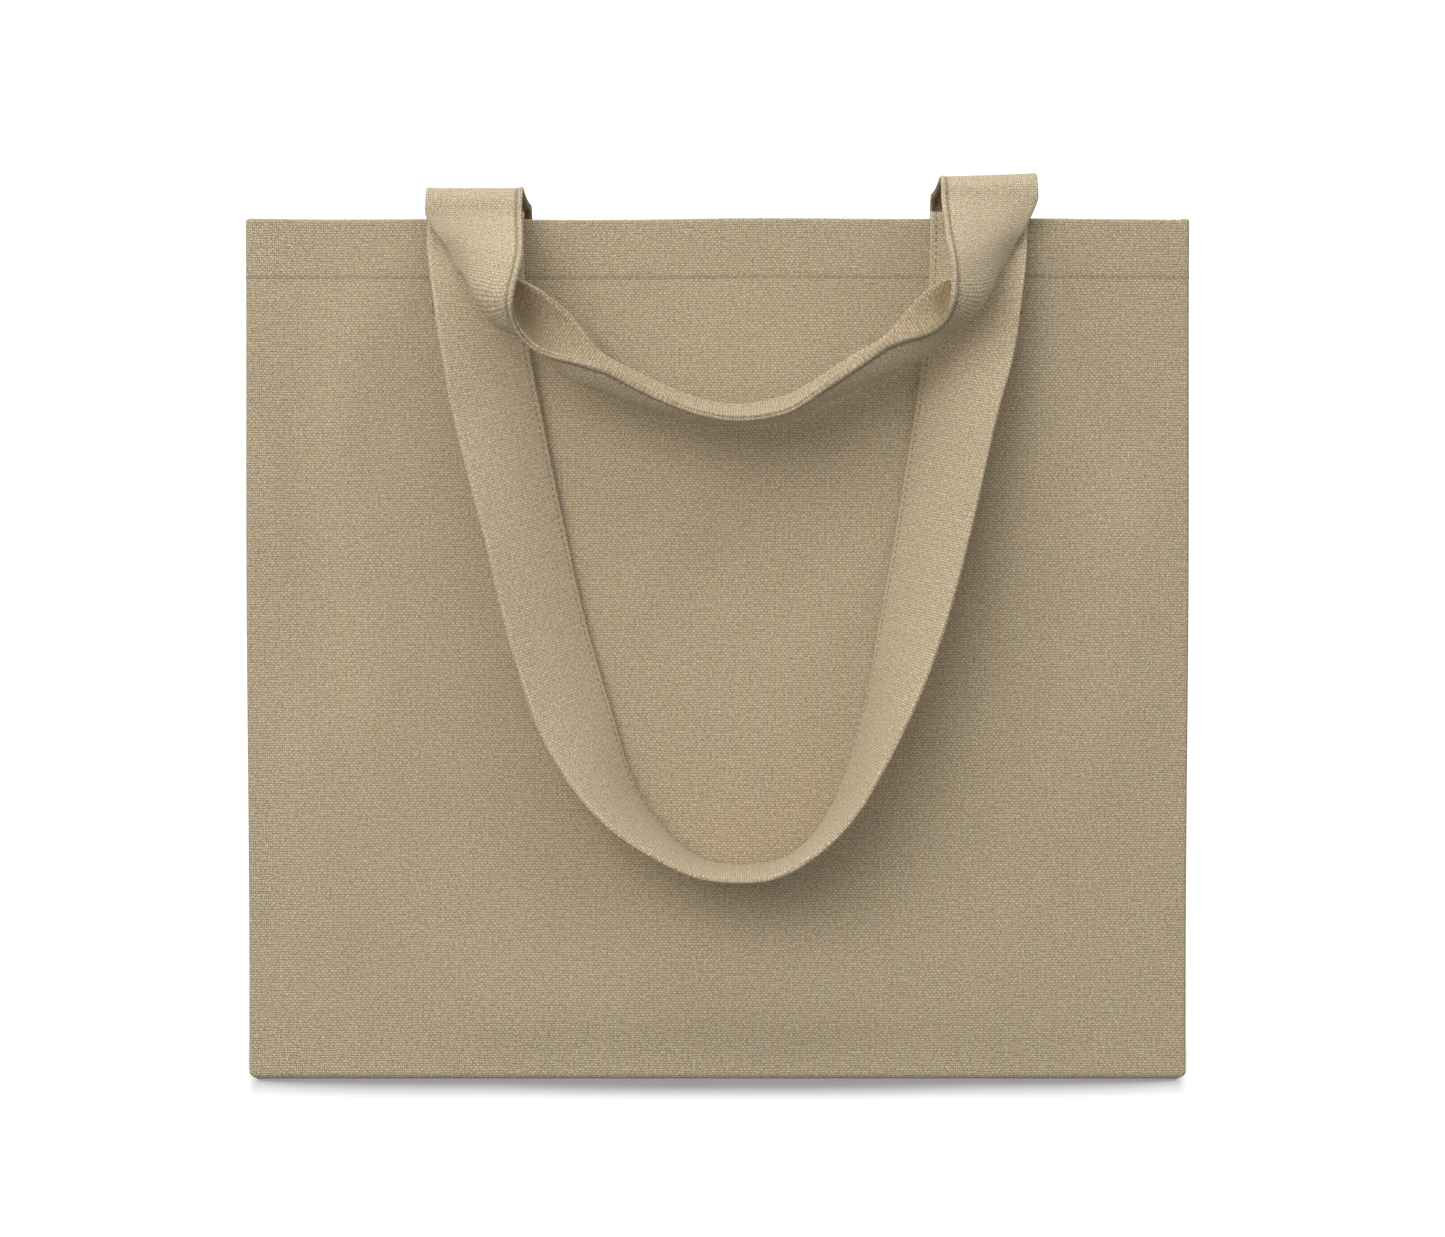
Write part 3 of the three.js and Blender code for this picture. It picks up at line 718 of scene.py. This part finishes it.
def make_base():
    """The base lies flat and turns up a little at its edges, where it is sewn to the walls."""
    half_x = HALF_WIDTH - SIDE_TAPER - BASE_ROUND * 0.5 - 1.2 * MM
    half_y = HALF_DEPTH - BASE_ROUND * 0.5
    xs = np.linspace(-half_x, half_x, 150)
    ys = np.linspace(-half_y, half_y, 46)
    x, y = np.meshgrid(xs, ys)
    edge = np.minimum(half_x - np.abs(x), half_y - np.abs(y))
    lift = 0.5 * MM * (1 - smoothstep(edge / (4 * MM)))
    sag = 0.10 * MM * noise_field(x, y, 50 * MM, 31.0)
    lower = np.stack([x, y, np.maximum(lift + sag + 0.1 * MM, 0)], axis=-1)
    points = lower[:, ::-1]
    piece = thick_sheet("base_panel_cloth", points, points[..., :2], np.full(x.shape, CLOTH), canvas_cloth)
    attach(piece, "bag")
    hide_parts("base_panel")
    return piece


wall_pieces = {}
wall_faces = {}
for wall_kind in WALLS:
    wall_pieces[wall_kind], wall_faces[wall_kind] = make_wall(wall_kind)
    make_hem(wall_kind, wall_faces[wall_kind])
base_piece = make_base()


# ------------------------------------------------------------------ hem stitching
def make_hem_stitching():
    """Each stitch row shows on the outside of the wall, and as a second row inside on the hem."""
    work = ThreadWork("hem_stitching_thread")
    for face in wall_faces.values():
        middle = face.shape[1] // 2
        row = np.abs(face[:, middle, 2] - STITCH_LINE).argmin()
        normals = grid_normals(face)[row]
        path = face[row, 6:-6]
        outward = normals[6:-6]
        work.row(path - outward * 0.30 * MM, outward)
        work.row(path - outward * (2 * RIM_FOLD + 0.55 * MM), -outward)
    piece = work.finish()
    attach(piece, "bag")
    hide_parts("hem_stitching")


make_hem_stitching()


# ------------------------------------------------------------------ seam allowances inside
def make_seam(node, along_axis):
    """A strip of two layers with wavy cut edges, overlocked with a zigzag of thread."""
    low, high = (np.array(corner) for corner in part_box(node))
    middle = (low + high) / 2
    inward_x = -math.copysign(1, middle[0]) if along_axis == 2 else 0
    length = high[along_axis] - low[along_axis]
    width = (high - low)[0] if along_axis == 2 else (high - low)[2]
    steps = int(length / (4 * MM))
    sewn = np.array(low)
    if along_axis == 2:
        sewn[0] = low[0] if inward_x > 0 else high[0]
        out = np.array((inward_x, 0, 0))
        along = np.array((0, 0, 1.0))
    else:
        out = np.array((0, 0, 1.0))
        along = np.array((1.0, 0, 0))
    sewn[1] = middle[1]
    flat = np.array((0, math.copysign(1, middle[1]), 0))
    seed = middle[0] * 31 + middle[1] * 17
    rows = []
    for k in range(steps + 1):
        s = length * k / steps
        wave = 0.5 * MM * math.sin(s / (9 * MM) + seed)
        wave += 0.4 * MM * noise.noise(Vector((s / (14 * MM), seed, 0)))
        start = sewn + along * s
        rows.append([start + out * width * f + flat * wave * f for f in (0, 0.25, 0.5, 0.75, 0.94)])
    points = np.array(rows)
    facing = grid_normals(points)[0, 0]
    if facing.dot(-flat) < 0:
        points = points[:, ::-1]
    points = points - flat * 0.8 * MM
    uv = np.stack(np.meshgrid(np.linspace(0, width, 5), np.linspace(0, length, steps + 1)), axis=-1)
    strip = thick_sheet(f"{node}_cloth", points, uv, np.full(points.shape[:2], 1.6 * MM), canvas_cloth)
    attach(strip, "bag")
    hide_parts(node)

    work = ThreadWork(f"{node}_overlock")
    loops = int(length / (2.4 * MM))
    zigzag = []
    for k in range(loops * 2):
        s = length * (k + 0.5) / (2 * loops)
        reach = width * (0.97 if k % 2 else 0.45)
        lift = 1.15 * MM
        zigzag.append(sewn + along * s + out * reach - flat * lift)
        if k % 2:
            zigzag.append(sewn + along * (s + 0.3 * MM) + out * (reach + 0.25 * MM) + flat * 0.2 * MM)
    work.add(*tube(zigzag, 0.22 * MM, 5))
    piece = work.finish()
    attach(piece, "bag")
    return strip


for depth_name in ("front", "back"):
    for side_name in ("left", "right"):
        make_seam(f"{depth_name}_{side_name}_seam", 2)
for depth_name in ("front", "back"):
    make_seam(f"{depth_name}_base_seam", 0)


# ------------------------------------------------------------------ straps
# Stations of the hanging loops, in mm: inner edge x, z, outer edge x, z, stand-off and bow.
FRONT_HANGING = [
    (-86, 368, -128.5, 368, 0, 0),
    (-85.5, 346, -126, 349, 0, 0.5),
    (-83.5, 322, -121, 318, 0, 1),
    (-79, 298, -115.5, 290, 0, 2),
    (-69.5, 250, -102.5, 240, 0, 2),
    (-59.5, 205, -91.5, 195, 0, 2),
    (-48, 165, -76.5, 151.5, 0, 2),
    (-35.5, 127, -51.5, 117, 0, 2),
    (-14, 101.5, -17, 95, 0, 2),
    (8, 94.5, 8, 90, 0, 2),
    (34, 100, 31.5, 94.2, 0, 2),
    (52, 123, 58.5, 116.5, 0, 2),
    (65.6, 165.4, 82, 157, 0, 2),
    (72.5, 203, 98, 196, 0, 2),
    (80.2, 246.5, 110.5, 240, 0, 2),
    (88.5, 299, 122.5, 292, 0, 2),
    (92, 325, 130.5, 321, 0, 1),
    (94, 352, 135, 350, 0, 0.5),
    (94.5, 368, 137, 368, 0, 0),
]
REAR_HANGING = [
    (-85.6, 369, -124, 374, 3.5, 1),
    (-85.9, 361, -118.5, 367.5, 5, 2.5),
    (-88, 351, -114, 358.5, 6.5, 5),
    (-89.3, 343, -104.5, 354.5, 9, 10),
    (-88.5, 335, -92, 355, 15, 15),
    (-84, 327, -82.5, 351.5, 22, 16.5),
    (-76.5, 321.5, -73, 345.5, 20, 16),
    (-67, 318.8, -62.5, 336.5, 13, 15),
    (-57, 316.5, -53, 324, 8, 13.5),
    (-46.5, 313, -44, 318, 6, 12),
    (-35, 306.7, -33, 312.5, 4, 10.5),
    (-20, 299.3, -18, 305.5, 3, 8.5),
    (-5, 294, -4, 301, 2, 6.5),
    (11, 292, 11, 299.3, 2, 5),
    (30.7, 295.7, 30, 303, 2, 6.5),
    (47, 306.5, 46, 312, 4, 9),
    (60, 315.5, 58.5, 320.5, 6, 12),
    (72.5, 324.5, 72.5, 328.5, 8, 14),
    (79, 327, 78, 334, 11, 15),
    (86.5, 329, 86, 343.5, 14, 16),
    (93.5, 331.5, 94, 350.5, 18, 16.5),
    (99, 336.5, 103.5, 355, 14, 15),
    (101.8, 344, 116, 354.5, 9, 10),
    (102.3, 352, 125, 359, 6.5, 5),
    (102, 362, 130.5, 369.5, 5, 2.5),
    (100.5, 371, 136, 377, 3.5, 1),
]


def edge_station(x, y, z, side, bow=0.0):
    """A flat station across X: inner edge, outer edge and bow; side is -1 on the left and 1 on the right."""
    inner = (x - side * STRAP_HALF, y, z)
    outer = (x + side * STRAP_HALF, y, z)
    return (*inner, *outer, bow)


def hanging_station(row, plane, leads):
    """A loop station with its leading edge brought forward, so that the strap keeps its width."""
    inner_x, inner_z, outer_x, outer_z, stand, bow = (value * MM for value in row)
    chord = STRAP_WIDTH - (8 / 3) * bow * bow / STRAP_WIDTH
    seen = math.hypot(outer_x - inner_x, outer_z - inner_z)
    forward = math.sqrt(max(chord * chord - seen * seen, 0))
    y = plane - stand
    inner_y = y - (forward if leads == "inner" else 0)
    outer_y = y - (forward if leads == "outer" else 0)
    return (inner_x, inner_y, inner_z, outer_x, outer_y, outer_z, bow)


def catmull_rom(stations, steps):
    points = np.array(stations, float)
    padded = np.vstack([2 * points[0] - points[1], points, 2 * points[-1] - points[-2]])
    out = []
    for k in range(len(points) - 1):
        a, b, c, d = padded[k:k + 4]
        for t in np.linspace(0, 1, steps, endpoint=False):
            out.append(0.5 * (2 * b + (c - a) * t + (2 * a - 5 * b + 4 * c - d) * t * t
                              + (3 * b - a - 3 * c + d) * t ** 3))
    out.append(points[-1])
    return np.array(out)


def half_thickness(across, pinch):
    """Half the strap's thickness at a distance across it; pinch says how hard its stitches pull it in."""
    a = across / MM
    edge = STRAP_HALF / MM
    plump = 0.25 * np.exp(-((a - edge + 1.6) / 1.5) ** 2)
    pressed = 0.5 * np.exp(-((a + edge - ROW_INSET / MM) / 0.6) ** 2)
    lip = 0.5 * np.exp(-((a + edge - 1.0) / 0.9) ** 2)
    return (0.92 + plump + pinch * (lip - pressed)) * MM


def strap_outline(pinch):
    """The strap's section, (across, height): a soft fold at the outer edge, two lips at the inner one."""
    edge = STRAP_HALF
    fine = np.linspace(-edge + 0.6 * MM, -edge + 4 * MM, 12)
    plain = np.linspace(-edge + 4 * MM, edge - 3 * MM, 22)[1:-1]
    close = np.linspace(edge - 3 * MM, edge - 1.0 * MM, 6)
    across = np.concatenate([fine, plain, close])
    front = [(a, half_thickness(a, pinch)) for a in across]
    fold = half_thickness(across[-1], pinch)
    turns = np.radians((62, 36, 12, -12, -36, -62))
    cap = [(across[-1] + 1.0 * MM * math.cos(turn), fold * math.sin(turn)) for turn in turns]
    back = [(a, -h) for a, h in front[::-1]]
    lip = half_thickness(across[0], pinch)
    lips = [(-edge + 0.2 * MM, -lip * 0.88), (-edge, -lip * 0.62), (-edge + 0.1 * MM, -lip * 0.36),
            (-edge + 2.0 * MM, 0.0),
            (-edge + 0.1 * MM, lip * 0.36), (-edge, lip * 0.62), (-edge + 0.2 * MM, lip * 0.88)]
    return front + cap + back + lips


class Strap:
    """A strap along stations (inner edge, outer edge, bow), sampled at even steps of its middle line."""

    STEP = 1.3 * MM

    def __init__(self, stations, material, pinch):
        self.material = material
        self.pinch = pinch
        fine = catmull_rom(stations, 14)
        middle = (fine[:, :3] + fine[:, 3:6]) / 2
        length = np.concatenate([[0], np.cumsum(np.linalg.norm(np.diff(middle, axis=0), axis=1))])
        self.length = length[-1]
        count = int(self.length / self.STEP) + 1
        even = np.linspace(0, self.length, count)
        rows = np.stack([np.interp(even, length, fine[:, k]) for k in range(7)], axis=1)
        self.rows = self.soften(rows, 5)
        self.along = even
        self.kept = slice(0, count)

    @staticmethod
    def soften(rows, passes):
        for _ in range(passes):
            inner = (rows[:-2] + 2 * rows[1:-1] + rows[2:]) / 4
            rows = np.vstack([rows[:1], inner, rows[-1:]])
        return rows

    def cut(self, first, last):
        """The part of this strap between two sample numbers, both included."""
        part = copy.copy(self)
        part.kept = slice(first, last + 1)
        part.length = self.along[last] - self.along[first]
        return part

    def frames(self):
        """Middle, half width, facing direction, direction along and bow of every kept sample."""
        rows = self.rows
        middle = (rows[:, :3] + rows[:, 3:6]) / 2
        half = (rows[:, 3:6] - rows[:, :3]) / 2
        tangent = np.gradient(middle, axis=0)
        tangent /= np.linalg.norm(tangent, axis=1, keepdims=True)
        face = np.cross(half, tangent)
        face /= np.linalg.norm(face, axis=1, keepdims=True)
        kept = self.kept
        return middle[kept], half[kept], face[kept], tangent[kept], rows[kept, 6]

    def place(self, across, height):
        """Points at one distance across and one height off the strap, for every kept sample, and normals."""
        middle, half, face, tangent, bow = self.frames()
        a = across / STRAP_HALF
        slope = half - 2 * face * (bow * a)[:, None]
        normal = np.cross(slope, tangent)
        normal /= np.linalg.norm(normal, axis=1, keepdims=True)
        point = middle + half * a + face * (bow * (1 - a * a))[:, None] + normal * height
        return point, normal

    def build(self, name):
        outline = strap_outline(self.pinch)
        columns = [self.place(a, h)[0] for a, h in outline]
        points = np.stack(columns, axis=1)
        rows, count = points.shape[:2]
        index = np.arange(rows * count).reshape(rows, count)
        around = np.roll(index, -1, axis=1)
        body = np.stack([index[:-1], index[1:], around[1:], around[:-1]], axis=-1).reshape(-1, 4)
        faces = [tuple(f) for f in body] + [tuple(index[0]), tuple(index[-1][::-1])]
        across = np.array([a for a, _ in outline])
        along = self.along[self.kept]
        uv = np.stack([np.tile(across, (rows, 1)), np.tile(along[:, None], (1, count))], axis=-1)
        piece = link_mesh(name, points.reshape(-1, 3), faces, self.material, uv.reshape(-1, 2))
        return piece

    def stitches(self, name):
        work = ThreadWork(name)
        row = ROW_INSET - STRAP_HALF
        press = half_thickness(row, self.pinch) - 0.2 * MM * (1 - self.pinch)
        for side in (1, -1):
            path, normal = self.place(row, side * press)
            work.row(path, normal * side)
        piece = work.finish()
        return piece


def bend_stations(x, side, centre, radius, first, last, count, lead=(0, 0)):
    """Stations round a bend in the Y-Z plane; lead brings the inner edge forward from first to last."""
    stations = []
    for k in range(count):
        f = k / (count - 1)
        angle = math.radians(first + (last - first) * f)
        y = centre[0] + radius * math.cos(angle)
        z = centre[1] + radius * math.sin(angle)
        row = list(edge_station(x, y, z, side))
        row[1] -= lead[0] + (lead[1] - lead[0]) * f
        stations.append(tuple(row))
    return stations


def front_handle_stations():
    left_x = sum(corner.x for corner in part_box("front_handle_left_end")) / 2
    right_x = sum(corner.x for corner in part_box("front_handle_right_end")) / 2
    centre = (-SEWN_PLANE - RIM_BEND, HEIGHT)
    stations = []
    for z in np.linspace(SEWN_FOOT, HEIGHT - 3 * MM, 5):
        stations.append(edge_station(left_x, -SEWN_PLANE, z, -1))
    stations += bend_stations(left_x, -1, centre, RIM_BEND, 0, 180, 7)
    stations += [hanging_station(row, FRONT_PLANE, "outer") for row in FRONT_HANGING]
    stations += bend_stations(right_x, 1, centre, RIM_BEND, 180, 0, 7)
    for z in np.linspace(HEIGHT - 3 * MM, SEWN_FOOT, 5):
        stations.append(edge_station(right_x, -SEWN_PLANE, z, 1))
    return stations


def reach_height(side_name):
    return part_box(f"rear_handle_{side_name}_reach")[1].z - STRAP_HALF_THICKNESS


def rear_handle_stations():
    stations = []
    ends = {}
    for side_name, side in (("left", -1), ("right", 1)):
        x = sum(corner.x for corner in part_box(f"rear_handle_{side_name}_end")) / 2
        level = reach_height(side_name)
        low = level - MOUTH_BEND
        back = (SEWN_PLANE - MOUTH_BEND, low)
        front = (REAR_PLANE + MOUTH_BEND, low)
        rise = [edge_station(x, SEWN_PLANE, z, side) for z in np.linspace(SEWN_FOOT, low - 4 * MM, 6)]
        over = bend_stations(x, side, back, MOUTH_BEND, 0, 90, 5)
        sag = -1.2 * MM
        across = []
        for f in (0.17, 0.33, 0.5, 0.67, 0.83):
            y = back[0] + (front[0] - back[0]) * f
            across.append(edge_station(x, y, level + sag * math.sin(math.pi * f), side))
        down = bend_stations(x, side, front, MOUTH_BEND, 90, 180, 5, (0, 5 * MM))
        drop = 1.4 * MM if side_name == "right" else 0      # the right strap's inner edge lies lower
        crest = [(s[0], s[1], s[2] - drop, *s[3:]) for s in over[2:] + across + down[:3]]
        ends[side_name] = rise + over[:2] + crest + down[3:]
    stations += ends["left"]
    stations += [hanging_station(row, REAR_PLANE, "inner") for row in REAR_HANGING]
    stations += ends["right"][::-1]
    return stations


def make_front_handle():
    strap = Strap(front_handle_stations(), front_strap_lit_cloth, 0.3)
    pieces = [strap.build("front_handle_strap"), strap.stitches("front_handle_thread")]
    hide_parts("front_handle", "front_handle_left_end", "front_handle_right_end")
    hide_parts("front_handle_stitching")
    for piece in pieces:
        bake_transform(piece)


def make_rear_handle():
    strap = Strap(rear_handle_stations(), rear_strap_cloth, 1.0)
    middle = (strap.rows[:, :3] + strap.rows[:, 3:6]) / 2
    left = int(np.abs(middle[: len(middle) // 2, 1]).argmin())
    half = len(middle) // 2
    right = half + int(np.abs(middle[half:, 1]).argmin())
    parts = {
        "left": strap.cut(0, left),
        "right": strap.cut(right, len(middle) - 1),
    }
    for side_name, part in parts.items():
        root = part.build(f"rear_handle_{side_name}_root")
        thread = part.stitches(f"rear_handle_{side_name}_root_thread")
        for piece in (root, thread):
            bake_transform(piece)
        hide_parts(f"rear_handle_{side_name}_end", f"rear_handle_{side_name}_reach")
    loop = strap.cut(left, right)
    pieces = [loop.build("rear_handle_strap"), loop.stitches("rear_handle_thread")]
    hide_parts("rear_handle")
    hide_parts("rear_handle_stitching")
    for piece in pieces:
        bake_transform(piece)


make_front_handle()
make_rear_handle()


# ------------------------------------------------------------------ crossed boxes of stitching
def make_crossed_box(handle, side_name):
    """A square with a cross, sewn through the strap's end, the hem and the wall; it shows on both faces."""
    node = f"{handle}_handle_{side_name}_crossed_box"
    low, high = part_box(node)
    top = min(high.z, STITCH_LINE + 18 * MM)
    corners = [(low.x, low.z), (high.x, low.z), (high.x, top), (low.x, top)]
    sides = list(zip(corners, corners[1:] + corners[:1]))
    diagonals = [(corners[0], corners[2]), (corners[1], corners[3])]
    outward = 1 if handle == "rear" else -1
    work = ThreadWork(f"{node}_thread")
    wall = wall_faces["back" if handle == "rear" else "front"]
    for (xa, za), (xb, zb) in sides + diagonals:
        count = 24
        xs = np.linspace(xa, xb, count)
        zs = np.linspace(za, zb, count)
        inner = np.stack([xs, np.full(count, outward * (SEWN_PLANE - 0.86 * MM)), zs], axis=1)
        work.row(inner, np.tile((0, -outward, 0), (count, 1)))
        flat = wall[20:-12, 8:-8]
        outer = []
        for a, b in zip(xs, zs):
            row = np.abs(flat[:, flat.shape[1] // 2, 2] - b).argmin()
            column = np.abs(flat[row, :, 0] - a).argmin()
            outer.append((a, flat[row, column, 1], b))
        work.row(np.array(outer), np.tile((0, outward, 0), (count, 1)))
    piece = work.finish()
    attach(piece, "bag")
    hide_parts(node)


for handle_name in ("front", "rear"):
    for strap_side in ("left", "right"):
        make_crossed_box(handle_name, strap_side)


bpy.context.view_layer.update()
